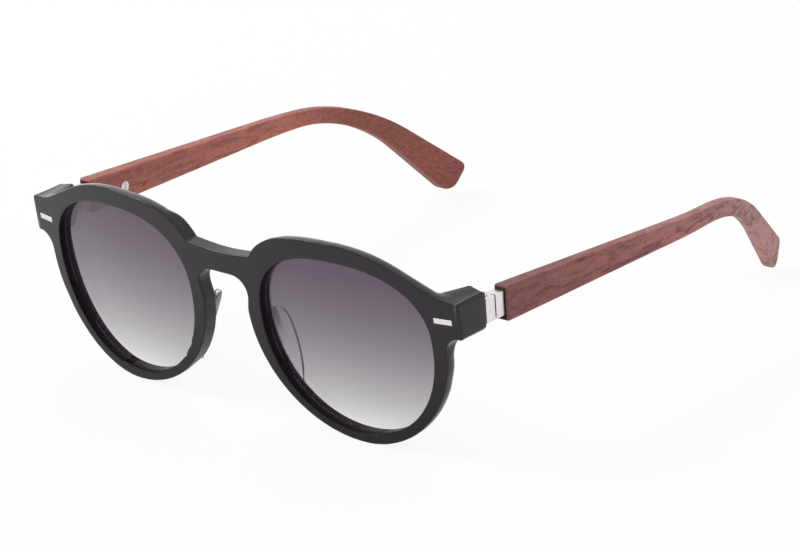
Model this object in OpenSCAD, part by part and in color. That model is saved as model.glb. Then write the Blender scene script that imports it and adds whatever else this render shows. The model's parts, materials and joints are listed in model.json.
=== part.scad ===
// Sunglasses: acetate front with keyhole bridge, gradient lenses, spring hinges and wooden temples.
// Millimetres, +Z up, standing on the rims and the temple tips. The front faces -Y.
// Left and right are the wearer's, and the left side is +X. Each piece is drawn for the left side
// and mirrored for the right.

/* [Front] */
// Width of each lens opening
lens_w = 49.3; // [44:0.1:54]
// Height of each lens opening
lens_h = 45.2; // [40:0.1:50]
// Gap between the two lens openings at the bridge
lens_gap = 23; // [19:0.1:27]
// Rim width under the lens
rim_low = 2.7; // [2:0.1:4]
// Rim width over the lens, at the brow
rim_brow = 4.9; // [3.5:0.1:6]
// Rim width beside the nose
rim_nasal = 4.3; // [3.5:0.1:5.5]
// Rim width on the temple side
rim_temporal = 3.9; // [3:0.1:5]
// Front-to-back thickness of the front
front_t = 4.2; // [3.6:0.1:5]
// Depth of the square edge round the front's face
edge_t = 0.9; // [0.6:0.1:1.2]
// How far the rear edges of the rims slope in from the outline
edge_in = 1.9; // [1:0.1:2.2]
// Radius of the front's wrap, seen from above
wrap_r = 345; // [250:1:500]
// Forward lean of the front's top, in degrees
front_lean = 6.8; // [4:0.1:10]

/* [Bridge] */
// Drop of the bridge's top edge below the brow, at the middle
bridge_drop = 9; // [8:0.1:10.5]
// Height of the bridge at the middle
bridge_h = 5.5; // [4.5:0.1:6.5]
// How much wider the keyhole's head is than the gap between the rims, on each side
keyhole_wider = 0.6; // [0.2:0.1:1.2]
// Corner radius of the keyhole's head
keyhole_r = 4.4; // [3:0.1:4.4]
// Height of the keyhole's head
keyhole_h = 4.9; // [4.9:0.1:6]
// Place on the rim's oval where the bridge's top edge meets it, in degrees from the brow's top
bridge_meet = 58; // [55:0.5:62]

/* [End piece] */
// Reach of the end piece past the lens opening
end_reach = 8.8; // [7.5:0.1:11]
// Drop of the end piece's top edge below the brow
end_drop = 10.4; // [9.5:0.1:11.2]
// Height of the end piece
end_h = 9.4; // [8.6:0.1:10.6]
// Depth of the end piece from its front corner to its rear face
end_depth = 9.8; // [9:0.1:12]
// Width of the end piece's rear face
end_rear_w = 4.8; // [4.4:0.1:6]
// Place on the rim's oval where the brow runs out straight, in degrees from the brow's top
brow_leave = 34.5; // [31:0.5:39]
// Radius of the dip between brow and end piece
dip_r = 18; // [12:0.5:22]
// Radius of the hollow under the end piece
under_r = 4; // [2:0.1:4.5]

/* [Lenses] */
// Lens thickness
lens_t = 1.8; // [1.4:0.1:2.2]
// Depth of the lens face behind the front face
lens_set = 1.9; // [1.4:0.1:2]
// Depth of the groove in the rim
groove_d = 0.55; // [0.4:0.05:0.8]
// Width of the groove
groove_w = 1; // [0.8:0.1:1.2]
// Clearance between the lens and its seat
lens_gap_fit = 0.05; // [0.02:0.01:0.1]

/* [Nose pads] */
// Height of the pad
pad_h = 24; // [20:0.5:26]
// Depth of the pad behind the front
pad_d = 4; // [3:0.1:6]
// Thickness of the pad
pad_t = 1.6; // [1.2:0.1:2.2]
// Drop of the pad's middle below the lens's widest height
pad_drop = 12; // [10:0.5:13.5]
// Outward turn of the pad towards its rear, in degrees
pad_flare = 25; // [15:1:35]
// Lean of the pad along the rim's edge, in degrees
pad_lean = 20; // [15:1:24]
// Distance of the pad's middle outside the lens opening's nasal edge
pad_out = 1.7; // [1:0.1:2.2]

/* [Plaques] */
// Length of the plaque
plaque_l = 4.9; // [3.5:0.1:6]
// Height of the plaque
plaque_h = 1.4; // [1:0.1:2]
// Thickness of the plaque
plaque_t = 0.6; // [0.5:0.05:0.8]
// How far the plaque stands proud of the front
plaque_proud = 0.15; // [0.1:0.05:0.3]
// Distance of the plaque's middle from the end piece's corner
plaque_in = 4.7; // [4:0.1:5.5]
// Drop of the plaque's middle below the end piece's top edge
plaque_drop = 5; // [4:0.1:6]
// Diameter of the plaque's pins
plaque_pin_d = 0.9; // [0.7:0.1:1]
// Length of the plaque's pins
plaque_pin_l = 1.8; // [1.2:0.1:2.2]

/* [Hinges] */
// Drop of the hinge's middle below the end piece's top edge
hinge_drop = 5.2; // [4.7:0.1:5.6]
// Height of the leaf and of the case's head
leaf_h = 6.2; // [5.6:0.1:7]
// Distance of the hinge's outer face inside the end piece's side
hinge_inset = 0.3; // [0.1:0.05:0.5]
// Distance of the pin axis inside the hinge's outer face
pin_in = 2.5; // [2.4:0.05:2.8]
// Distance of the pin axis behind the end piece
pin_back = 1.7; // [1.6:0.05:2]
// Outer radius of the knuckles
knuckle_r = 1.4; // [1.3:0.05:1.45]
// Height of the plunger's eye
eye_h = 2.2; // [1.8:0.1:2.4]
// Diameter of the hinge screw
pin_d = 1.4; // [1.2:0.1:1.5]
// Diameter of the hinge screw's head
pin_head_d = 2.3; // [2:0.1:2.6]
// Height of the hinge screw's head
pin_head_h = 0.5; // [0.4:0.05:0.7]
// Depth of the leaf's root in the end piece
root_l = 5.4; // [4:0.1:6]
// Width of the leaf's root
root_w = 1.8; // [1.4:0.1:2]
// Height of the leaf's root
root_h = 4.2; // [3.5:0.1:4.6]
// Length of the case's head between leaf and wood
head_l = 3.45; // [3:0.05:4]
// Length of the case's tail in the wood
tail_l = 16; // [15:0.5:18]
// Width of the case's tail
tail_w = 2.6; // [2.5:0.05:2.7]
// Height of the case's tail
tail_h = 4.4; // [4:0.1:5]
// Diameter of the plunger's shaft
shaft_d = 0.9; // [0.8:0.05:1]
// Distance of the shaft outside the pin axis
shaft_out = 1; // [0.95:0.05:1.1]
// Diameter of the case's spring bore
bore_d = 1.9; // [1.8:0.05:2]
// Thickness of the wall that the shaft comes out of
case_wall = 1.2; // [1:0.1:1.5]
// Length of the spring
spring_l = 9; // [8:0.5:9.5]
// Number of turns of the spring
spring_turns = 9; // [6:1:11]
// Wire diameter of the spring
wire_d = 0.22; // [0.18:0.01:0.24]
// Length of the spring stop
stop_l = 1; // [0.8:0.1:1.2]
// Diameter of the case screw's head
case_screw_head_d = 2.8; // [2.4:0.1:3.2]
// Height of the case screw's head
case_screw_head_h = 0.5; // [0.4:0.05:0.6]
// Diameter of the case screw
case_screw_d = 1.3; // [1.1:0.1:1.4]
// Distance of the case screw from the tail's end
case_screw_in = 4; // [3:0.1:5]

/* [Temples] */
// How far the wood stands proud of the end piece's side
temple_proud = 0.6; // [0.5:0.05:0.8]
// Thickness of the wood at the hinge
temple_t = 4.2; // [4.1:0.05:4.6]
// Thickness of the wood from the bow to the tip
bow_t = 3.5; // [3:0.1:4]
// Height of the wood above the hinge's middle, at its front end
wood_up = 4.2; // [4:0.1:4.6]
// Height of the wood below the hinge's middle, at its front end
wood_down = 4.8; // [4.4:0.1:5.2]
// Length of the wood from its front end to its tip, along Y
temple_len = 127.8; // [118:0.1:136]
// Slope of the wood's top edge, in degrees
top_slope = 4.6; // [4:0.1:5]
// Slope of the wood's lower edge, in degrees
low_slope = 1.2; // [0.8:0.1:1.6]
// Distance from the tip forwards to the top edge's bend
top_bend = 29.8; // [28:0.1:32]
// Distance from the tip forwards to the lower edge's bend
low_bend = 31.8; // [30:0.1:34]
// Height of the tip's top corner
tip_h = 7.7; // [6.5:0.1:9]
// Distance from the tip's end forwards to its foot
tip_foot = 5.2; // [4:0.1:6]
// Radius of the top edge's bend
top_bend_r = 54; // [44:1:64]
// Radius of the lower edge's bend
low_bend_r = 40; // [32:1:48]
// Distance from the tip forwards to the start of the inward bow
bow_start = 60.8; // [56:0.1:64]
// Radius of the inward bow
bow_r = 100; // [80:1:110]
// Angle of the inward bow, in degrees
bow_angle = 20; // [14:0.5:21]

/* [Fits] */
// Radial clearance of a running fit
run_fit = 0.03; // [0.02:0.01:0.06]
// Clearance of a piece let into another
seat_fit = 0.04; // [0.02:0.01:0.08]
// Gap between the leaf and the case
leaf_gap = 0.05; // [0.04:0.01:0.08]
// Outward flex that the gap's outer edge is relieved for, in degrees
flex_relief = 10.5; // [8:0.5:12]
// Gap between knuckle and eye
knuckle_gap = 0.05; // [0.03:0.01:0.1]

/* [Hidden] */
$fn = 64;

// Colours
acetate = [0.08, 0.08, 0.085];
smoke = [0.45, 0.42, 0.46, 0.8];
clear = [0.85, 0.86, 0.88, 0.5];
bright = [0.82, 0.81, 0.8];
steel = [0.6, 0.6, 0.62];
wood = [0.5, 0.27, 0.21];

// Points on each quarter of an oval, and on a rounded corner
quarter_steps = 18;
corner_steps = 8;
// Overshoot of a cut past the face it opens
over = 1;
// Depth to which one piece of a union runs into the next
bite = 0.2;
// Size that is larger than the whole part
reach = 400;

// Radii of the bridge's top edge, the keyhole's foot, the temple's tip and its foot
bridge_r = 60;
keyhole_foot_r = 2;
tip_r = 2;
foot_r = 2.6;
// Length of the pad ahead of its middle line
pad_root = 4;
// Wall beside the shaft and the spring bore
thin_wall = 0.45;
// Crossbar at the inner end of the leaf's root
anchor_l = 1.2;
anchor_in = 0.5;
// Width of the screwdriver slots
slot_w = 0.3;
// Radial clearance of the stop that is pressed on the shaft
press_fit = 0.01;

// Lens opening in the front view
open_in = lens_gap / 2;
open_out = open_in + lens_w;
open_low = rim_low;
open_top = open_low + lens_h;
open_wide = open_low + 0.593 * lens_h;
open_top_x = open_in + 0.457 * lens_w;
open_low_x = open_in + 0.528 * lens_w;

// Rim outline in the front view
rim_in = open_in - rim_nasal;
rim_out = open_out + rim_temporal;
rim_top = open_top + rim_brow;
rim_wide = open_wide + 0.011 * lens_h;
rim_top_x = open_top_x - 0.01 * lens_w;
rim_low_x = open_low_x + 0.016 * lens_w;
end_x = open_out + end_reach;
end_top = rim_top - end_drop;
end_low = end_top - end_h;
bridge_top = rim_top - bridge_drop;
keyhole_top = bridge_top - bridge_h;
keyhole_half = rim_in + keyhole_wider;
plaque_z = end_top - plaque_drop;
hinge_z = end_top - hinge_drop;
pad_z = open_wide - pad_drop;

// Depths behind the front's foot line, before the part is centred
lean_sin = sin(front_lean);
lean_cos = cos(front_lean);
function sag(x) = wrap_r - sqrt(wrap_r * wrap_r - x * x);
function face_y(x, z) = (sag(x) - z * lean_sin) / lean_cos;
end_mid = (end_top + end_low) / 2;
end_rear = face_y(end_x, end_mid) + end_depth;
pin_y = end_rear + pin_back;
eye_room = knuckle_r + 0.1;
leaf_rear = pin_y + eye_room;
case_front = leaf_rear + leaf_gap;
wood_front = case_front + head_l;
tip_y = wood_front + temple_len;

// Widths at the hinge
hinge_x = end_x - hinge_inset;
pin_x = hinge_x - pin_in;
shaft_x = pin_x + shaft_out;
temple_x = end_x + temple_proud;
inner_x = temple_x - temple_t;
bow_inner_x = temple_x - bow_t;

// Heights of the hinge's three knuckles
leaf_low = hinge_z - leaf_h / 2;
leaf_top = hinge_z + leaf_h / 2;
eye_low = hinge_z - eye_h / 2;
eye_top = hinge_z + eye_h / 2;

// Places along the plunger
spring_front = case_front + case_wall + seat_fit;
stop_front = spring_front + spring_l + seat_fit;
shaft_end = stop_front + stop_l;
tail_end = wood_front + tail_l;
case_screw_y = tail_end - case_screw_in;
tail_z = hinge_z - 0.4;
case_screw_z = tail_z - 0.9;

// Depth of the middle of the groove behind the front's face
groove_mid = lens_set + lens_t / 2;

function unit(v) = v / norm(v);

// Point at angle t on an oval of four quarter curves that meet at its widest height
function oval_point(t, x_in, x_out, z_low, z_wide, z_top, x_low, x_top, e_low, e_in, e_out) =
    let (
        c = cos(t),
        s = sin(t),
        cx = s >= 0 ? x_top : x_low,
        a = c >= 0 ? x_out - cx : cx - x_in,
        b = s >= 0 ? z_top - z_wide : z_wide - z_low,
        e = s < 0 ? e_low : (c >= 0 ? e_out : e_in)
    )
    [cx + a * sign(c) * pow(abs(c), 2 / e), z_wide + b * sign(s) * pow(abs(s), 2 / e)];

// Lens opening, grown on all sides by g
function opening(g) = [
    for (i = [0 : 4 * quarter_steps - 1])
        oval_point(
            90 * i / quarter_steps,
            open_in - g, open_out + g, open_low - g, open_wide, open_top + g,
            open_low_x, open_top_x, 2.08, 2.4, 2.4
        )
];

// Point at angle t on the rim's outer edge
function rim_point(t) = oval_point(
    t, rim_in, rim_out, 0, rim_wide, rim_top, rim_low_x, rim_top_x, 1.95, 2.9, 2.15
);

// Corners without rounding on the rim's edge, from one angle to another
function rim_run(from, to, steps) = [
    for (i = [0 : steps]) let (p = rim_point(from + (to - from) * i / steps)) [p[0], p[1], 0]
];

// Arc that rounds corner p between its neighbours a and b
function round_corner(a, p, b, r) =
    r == 0 ? [p] :
    let (
        u = unit(a - p),
        v = unit(b - p),
        half = acos(u * v) / 2,
        centre = p + unit(u + v) * r / sin(half),
        from = p + u * r / tan(half) - centre,
        to = p + v * r / tan(half) - centre,
        start = atan2(from[1], from[0]),
        turn = atan2(to[1], to[0]) - start,
        sweep = turn > 180 ? turn - 360 : (turn < -180 ? turn + 360 : turn)
    )
    [for (i = [0 : corner_steps])
        centre + r * [cos(start + sweep * i / corner_steps), sin(start + sweep * i / corner_steps)]];

// Closed outline from corners given as [x, y, radius]
function rounded(corners) =
    let (n = len(corners), p = [for (c = corners) [c[0], c[1]]])
    [for (i = [0 : n - 1]) each round_corner(p[(i + n - 1) % n], p[i], p[(i + 1) % n], corners[i][2])];

// Outline of the front from the bridge's top, over the left rim and end piece, to the keyhole
brow_point = rim_point(90 - brow_leave);
brow_dir = unit(rim_point(89 - brow_leave) - brow_point);
dip_x = brow_point[0] + brow_dir[0] * (end_top - brow_point[1]) / brow_dir[1];
half_outline = concat(
    rim_run(90 + bridge_meet, 90 - brow_leave, quarter_steps),
    [
        [dip_x, end_top, dip_r],
        [end_x, end_top, 0],
        [end_x, end_low, 0],
        [rim_out, end_low, under_r]
    ],
    rim_run(-10, -180, 2 * quarter_steps),
    [
        [keyhole_half, keyhole_top - keyhole_h, keyhole_foot_r],
        [keyhole_half, keyhole_top, keyhole_r]
    ]
);
half_count = len(half_outline);
front_outline = rounded(concat(
    [[0, bridge_top, bridge_r]],
    half_outline,
    [for (i = [1 : half_count]) let (c = half_outline[half_count - i]) [-c[0], c[1], c[2]]]
));

// Inward normal of the front's outline at corner i
outline_count = len(front_outline);
function outline_in(i) =
    let (d = unit(
        front_outline[(i + 1) % outline_count] - front_outline[(i + outline_count - 1) % outline_count]
    ))
    [d[1], -d[0]];

// Runs over which the rear slope fades out at the end pieces, under them and beside the nose
end_run = 9;
under_run = 4;
under_in = 5;
nose_run = 5;
nose_in = 2;
function ease(t) = let (c = min(max(t, 0), 1)) c * c * (3 - 2 * c);
function at_end(p) =
    ease((abs(p[0]) - rim_out + end_run) / end_run) * ease((p[1] - end_low + under_in) / under_run);
function at_nose(p) = ease((open_in + nose_run + nose_in - abs(p[0])) / nose_run);

// Share of the rear slope at point p, with a slope too slight to draw left out
least_share = 0.06;
function slope_share(p) =
    let (share = (1 - at_end(p)) * (1 - at_nose(p)))
    share < least_share ? 0 : share;

// Middle of the whole part's depth
lead_y = min([for (p = front_outline) face_y(p[0], p[1])]);
centre_y = (lead_y + tip_y) / 2;

// Side view of the temple, as [y, z]
top_bend_y = tip_y - top_bend;
low_bend_y = tip_y - low_bend;
temple_side = rounded([
    [wood_front, hinge_z + wood_up, 0],
    [top_bend_y, hinge_z + wood_up - (top_bend_y - wood_front) * tan(top_slope), top_bend_r],
    [tip_y, tip_h, tip_r],
    [tip_y - tip_foot, 0, foot_r],
    [low_bend_y, hinge_z - wood_down - (low_bend_y - wood_front) * tan(low_slope), low_bend_r],
    [wood_front, hinge_z - wood_down, 0]
]);

// Plan of the temple, as [x, y], with the outer and inner faces on one bow centre
bow_corner = tip_y - bow_start + bow_r * tan(bow_angle / 2);
inner_corner = tip_y - bow_start + (bow_r - bow_t) * tan(bow_angle / 2);
past_tip = tip_y + 6;
temple_plan = rounded([
    [temple_x, wood_front, 0],
    [temple_x, bow_corner, bow_r],
    [temple_x - (past_tip - bow_corner) * tan(bow_angle), past_tip, 0],
    [bow_inner_x - (past_tip - inner_corner) * tan(bow_angle), past_tip, 0],
    [bow_inner_x, inner_corner, bow_r - bow_t],
    [inner_x, wood_front, 0.6]
]);

module centred() {
    translate([0, -centre_y, 0]) children();
}

module right_of() {
    mirror([1, 0, 0]) children();
}

module both_sides() {
    children();
    right_of() children();
}

// Front-view outline drawn out along Y
module along_y(y0, y1) {
    translate([0, y1, 0]) rotate([90, 0, 0]) linear_extrude(y1 - y0) children();
}

// Everything behind the front's face at depth n
module behind(n) {
    rotate([front_lean, 0, 0])
        translate([0, wrap_r, -reach / 4])
            cylinder(r = wrap_r - n, h = reach / 2, $fn = 200);
}

// Curved sheet between two depths of the front
module sheet(n0, n1) {
    difference() {
        behind(n0);
        behind(n1);
    }
}

// Cylinder along Y
module rod_y(d, y0, y1) {
    translate([0, y0, 0]) rotate([-90, 0, 0]) cylinder(d = d, h = y1 - y0);
}

// Place on the front's face at the plaque, with +Y into the acetate
module at_plaque() {
    x = end_x - plaque_in;
    translate([x, face_y(x, plaque_z), plaque_z])
        rotate([front_lean, 0, asin(x / wrap_r)])
            children();
}

module plaque_shape(fit) {
    translate([-plaque_l / 2 - fit, -plaque_proud, -plaque_h / 2 - fit])
        cube([plaque_l + 2 * fit, plaque_t + fit, plaque_h + 2 * fit]);
    back = plaque_t - plaque_proud;
    for (x = [-plaque_l / 4, plaque_l / 4])
        translate([x, 0, 0]) rod_y(plaque_pin_d + 2 * fit, back - fit, back + plaque_pin_l + fit);
}

// Root of the leaf, pressed hot into the end piece
module leaf_root(fit) {
    x = hinge_x - pin_in / 2 - root_w / 2;
    translate([x - fit, end_rear - root_l - fit, hinge_z - root_h / 2 - fit])
        cube([root_w + 2 * fit, root_l + 2 * fit, root_h + 2 * fit]);
    translate([x - fit, end_rear - root_l - fit, leaf_low + anchor_in - fit])
        cube([root_w + 2 * fit, anchor_l + 2 * fit, leaf_h - 2 * anchor_in + 2 * fit]);
}

// Room behind the rims and end pieces
module rear_room() {
    turn_x = open_out + over;
    turn_y = face_y(turn_x, end_mid) + front_t - 2 * bite;
    rear_x = end_x - end_rear_w;
    difference() {
        behind(front_t);
        both_sides()
            translate([0, 0, end_low - 2 * bite])
                linear_extrude(reach / 8)
                    polygon([
                        [turn_x, turn_y - end_depth],
                        [end_x + over, turn_y - end_depth],
                        [end_x + over, end_rear],
                        [rear_x, end_rear],
                        [turn_x, turn_y]
                    ]);
    }
}

// Solid inside the front's outline, square behind the face and then sloping in towards the rear.
// Its four rings of corners run from a flat one ahead of the face to a flat one past the rear.
module front_block() {
    past = 2 * bite;
    slope_in = edge_in * (1 + past / (front_t - edge_t));
    function ring(inset) = [
        for (i = [0 : outline_count - 1])
            front_outline[i] + inset * slope_share(front_outline[i]) * outline_in(i)
    ];
    points = concat(
        [for (p = ring(0)) [p[0], -reach / 8, p[1]]],
        [for (p = ring(0)) [p[0], face_y(p[0], p[1]) + edge_t, p[1]]],
        [for (p = ring(slope_in)) [p[0], face_y(p[0], p[1]) + front_t + past, p[1]]],
        [for (p = ring(slope_in)) [p[0], end_rear + 3 * over, p[1]]]
    );
    sides = [
        for (k = [0 : 2])
            for (i = [0 : outline_count - 1])
                let (a = k * outline_count + i, b = k * outline_count + (i + 1) % outline_count)
                each [[a, b + outline_count, b], [a, a + outline_count, b + outline_count]]
    ];
    ends = [
        [for (i = [0 : outline_count - 1]) i],
        [for (i = [1 : outline_count]) 4 * outline_count - i]
    ];
    polyhedron(points, concat(sides, ends));
}

module front_frame() {
    color(acetate) centred() difference() {
        intersection() {
            front_block();
            behind(0);
        }
        rear_room();
        both_sides() {
            along_y(-reach / 8, reach / 8) polygon(opening(0));
            intersection() {
                along_y(-reach / 8, reach / 8) polygon(opening(groove_d));
                sheet(groove_mid - groove_w / 2, groove_mid + groove_w / 2);
            }
            at_plaque() plaque_shape(seat_fit);
            leaf_root(seat_fit);
        }
    }
}

module lens() {
    color(smoke) centred() union() {
        intersection() {
            along_y(-reach / 8, reach / 8) polygon(opening(-lens_gap_fit));
            sheet(lens_set, lens_set + lens_t);
        }
        intersection() {
            along_y(-reach / 8, reach / 8) polygon(opening(groove_d - lens_gap_fit));
            sheet(groove_mid - groove_w / 2 + lens_gap_fit, groove_mid + groove_w / 2 - lens_gap_fit);
        }
    }
}

module nose_pad() {
    outline = concat(
        [[-pad_root, -pad_h / 2], [-pad_root, pad_h / 2]],
        [for (t = [90 : -9 : -90]) [pad_d * pow(abs(cos(t)), 0.8), sin(t) * pad_h / 2]]
    );
    x = open_in + pad_out;
    color(clear) centred() intersection() {
        translate([x, face_y(x, pad_z) + front_t, pad_z])
            rotate([0, -pad_lean, -pad_flare])
                translate([-pad_t / 2, 0, 0])
                    rotate([90, 0, 90])
                        linear_extrude(pad_t) polygon(outline);
        behind(front_t + seat_fit);
    }
}

module plaque() {
    color(bright) centred() at_plaque() plaque_shape(0);
}

module front_leaf() {
    slot_x = shaft_x + shaft_d / 2 + thin_wall;
    color(bright) centred() difference() {
        union() {
            translate([pin_x, end_rear, leaf_low])
                cube([pin_in, leaf_rear - end_rear, leaf_h]);
            translate([pin_x, pin_y, leaf_low]) cylinder(r = knuckle_r, h = leaf_h);
            leaf_root(0);
        }
        translate([pin_x - knuckle_r - over, pin_y - eye_room, eye_low - knuckle_gap])
            cube([slot_x - pin_x + knuckle_r + over, 2 * eye_room + over, eye_h + 2 * knuckle_gap]);
        translate([pin_x, pin_y, leaf_low - over])
            cylinder(d = pin_d + 2 * run_fit, h = leaf_h + 2 * over);
    }
}

module hinge_screw() {
    color(steel) centred() translate([pin_x, pin_y, 0]) difference() {
        union() {
            translate([0, 0, leaf_low]) cylinder(d = pin_d, h = leaf_h + knuckle_gap + bite);
            translate([0, 0, leaf_top + knuckle_gap]) cylinder(d = pin_head_d, h = pin_head_h);
        }
        translate([-pin_head_d / 2 - over, -slot_w / 2, leaf_top + knuckle_gap + pin_head_h / 2])
            cube([pin_head_d + 2 * over, slot_w, pin_head_h]);
    }
}

module plunger() {
    color(steel) centred() difference() {
        union() {
            translate([pin_x, pin_y, eye_low]) cylinder(r = knuckle_r, h = eye_h);
            translate([shaft_x, 0, hinge_z]) rod_y(shaft_d, pin_y - bite, shaft_end);
        }
        translate([pin_x, pin_y, eye_low - over]) cylinder(d = pin_d + 2 * run_fit, h = eye_h + 2 * over);
    }
}

// Coil around the plunger's shaft: rings of wire that follow a helix
module spring() {
    ring_sides = 6;
    rings_per_turn = 8;
    coil_r = (bore_d + shaft_d) / 4;
    rings = spring_turns * rings_per_turn;
    rise = (spring_l - wire_d) / rings;
    points = [
        for (i = [0 : rings])
            let (turn = 360 * i / rings_per_turn, y = spring_front + wire_d / 2 + rise * i)
            for (j = [0 : ring_sides - 1])
                let (
                    a = 360 * j / ring_sides,
                    r = coil_r + wire_d / 2 * cos(a)
                )
                [shaft_x + r * cos(turn), y + wire_d / 2 * sin(a), hinge_z + r * sin(turn)]
    ];
    last = rings * ring_sides;
    sides = [
        for (i = [0 : rings - 1])
            for (j = [0 : ring_sides - 1])
                let (
                    a = i * ring_sides + j,
                    b = i * ring_sides + (j + 1) % ring_sides
                )
                each [[a, b, a + ring_sides], [b, b + ring_sides, a + ring_sides]]
    ];
    ends = [
        for (j = [1 : ring_sides - 2])
            each [[0, j + 1, j], [last, last + j, last + j + 1]]
    ];
    color(steel) centred() polyhedron(points, concat(sides, ends));
}

module spring_stop() {
    color(steel) centred() translate([shaft_x, 0, hinge_z]) difference() {
        rod_y(bore_d - 2 * run_fit, stop_front, shaft_end);
        rod_y(shaft_d + 2 * press_fit, stop_front - over, shaft_end + over);
    }
}

// Tail of the case and its pocket in the wood
module case_tail(fit) {
    translate([shaft_x - tail_w / 2 - fit, wood_front - over, tail_z - tail_h / 2 - fit])
        cube([tail_w + 2 * fit, tail_l + over + fit, tail_h + 2 * fit]);
}

// Case screw on the temple's inner face, with its axis along X
module case_screw_shape(fit) {
    face = inner_x + (case_screw_y - wood_front) * (bow_inner_x - inner_x) / (inner_corner - wood_front);
    translate([face - case_screw_head_h / 2, case_screw_y, case_screw_z]) rotate([0, 90, 0]) {
        cylinder(d = case_screw_head_d + 2 * fit, h = case_screw_head_h + fit);
        cylinder(d = case_screw_d + 2 * fit, h = shaft_x + tail_w / 2 - face + case_screw_head_h / 2 + fit);
    }
}

module hinge_case() {
    head_in = shaft_x - bore_d / 2 - thin_wall;
    color(bright) centred() difference() {
        union() {
            translate([head_in, case_front, leaf_low])
                cube([hinge_x - head_in, head_l, leaf_h]);
            case_tail(0);
        }
        translate([pin_x, case_front, leaf_low - over])
            rotate([0, 0, flex_relief])
                translate([0, -2, 0])
                    cube([2 * pin_in, 2, leaf_h + 2 * over]);
        translate([shaft_x, 0, hinge_z]) {
            rod_y(shaft_d + 2 * run_fit, case_front - over, tail_end);
            rod_y(bore_d, case_front + case_wall, tail_end + over);
        }
        case_screw_shape(run_fit);
    }
}

module case_screw() {
    color(bright) centred() difference() {
        case_screw_shape(0);
        translate([inner_x - over, case_screw_y - slot_w / 2, case_screw_z - case_screw_head_d])
            cube([over, slot_w, 2 * case_screw_head_d]);
    }
}

module temple() {
    color(wood) centred() difference() {
        intersection() {
            rotate([90, 0, 90]) linear_extrude(reach / 4) polygon(temple_side);
            translate([0, 0, -over]) linear_extrude(reach / 4) polygon(temple_plan);
        }
        case_tail(seat_fit);
        case_screw_shape(seat_fit);
    }
}

front_frame();
lens();  // left_lens
right_of() lens();  // right_lens
nose_pad();  // left_nose_pad
right_of() nose_pad();  // right_nose_pad
plaque();  // left_plaque
right_of() plaque();  // right_plaque
front_leaf();  // left_front_leaf
right_of() front_leaf();  // right_front_leaf
hinge_screw();  // left_hinge_screw
right_of() hinge_screw();  // right_hinge_screw
plunger();  // left_plunger
right_of() plunger();  // right_plunger
spring();  // left_spring
right_of() spring();  // right_spring
spring_stop();  // left_spring_stop
right_of() spring_stop();  // right_spring_stop
hinge_case();  // left_hinge_case
right_of() hinge_case();  // right_hinge_case
case_screw();  // left_case_screw
right_of() case_screw();  // right_case_screw
temple();  // left_temple
right_of() temple();  // right_temple
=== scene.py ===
"""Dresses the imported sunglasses: acetate front, gradient lenses, spring hinges, wooden temples.

Every piece is made in the CAD frame, in metres, and rides on the CAD body that it belongs to.
Left and right are the wearer's, and the left side is +X. Fields hold lengths in millimetres and
angles in degrees, unless their class says otherwise.
"""

import json
import logging
import math
from dataclasses import dataclass, field
from enum import Enum
from typing import Any, Callable, Iterable, Sequence

import bmesh
import bpy
from bmesh.types import BMEdge, BMesh, BMFace, BMVert
from mathutils import Matrix, Vector
from mathutils.kdtree import KDTree


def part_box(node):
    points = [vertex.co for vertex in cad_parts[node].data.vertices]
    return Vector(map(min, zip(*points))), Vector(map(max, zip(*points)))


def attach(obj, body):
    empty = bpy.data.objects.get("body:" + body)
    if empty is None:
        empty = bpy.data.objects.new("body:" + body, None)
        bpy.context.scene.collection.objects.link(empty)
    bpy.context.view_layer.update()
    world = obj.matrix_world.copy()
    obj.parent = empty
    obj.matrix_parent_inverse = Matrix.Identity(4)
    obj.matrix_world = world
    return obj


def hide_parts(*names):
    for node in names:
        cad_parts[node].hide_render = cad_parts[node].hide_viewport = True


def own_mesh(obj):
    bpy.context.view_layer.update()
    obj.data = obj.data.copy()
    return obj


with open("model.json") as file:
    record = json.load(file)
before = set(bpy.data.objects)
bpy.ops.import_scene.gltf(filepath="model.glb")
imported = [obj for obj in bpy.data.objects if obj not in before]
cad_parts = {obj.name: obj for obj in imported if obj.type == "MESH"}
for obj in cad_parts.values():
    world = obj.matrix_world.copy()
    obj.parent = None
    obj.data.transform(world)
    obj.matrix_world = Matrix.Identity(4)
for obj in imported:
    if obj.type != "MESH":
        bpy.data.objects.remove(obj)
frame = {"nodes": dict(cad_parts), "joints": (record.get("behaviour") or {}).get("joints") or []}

log = logging.getLogger("sunglasses")
MM = 0.001
WELD = 0.002
WHITE = (1.0, 1.0, 1.0, 1.0)

Pair = tuple[float, float]
Triple = tuple[float, float, float]


class Side(Enum):
    """One side of the sunglasses, with the sign of its X."""

    LEFT = 1
    RIGHT = -1

    @property
    def word(self) -> str:
        """Start of the side's node names."""
        return self.name.lower()


class Slot(Enum):
    """Material slots of the record."""

    ACETATE = "acetate"
    LENS = "tinted_lens"
    PAD = "clear_pad"
    METAL = "polished_metal"
    SCREW = "screw_steel"
    SPRING = "spring_steel"
    WOOD = "walnut"


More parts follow.
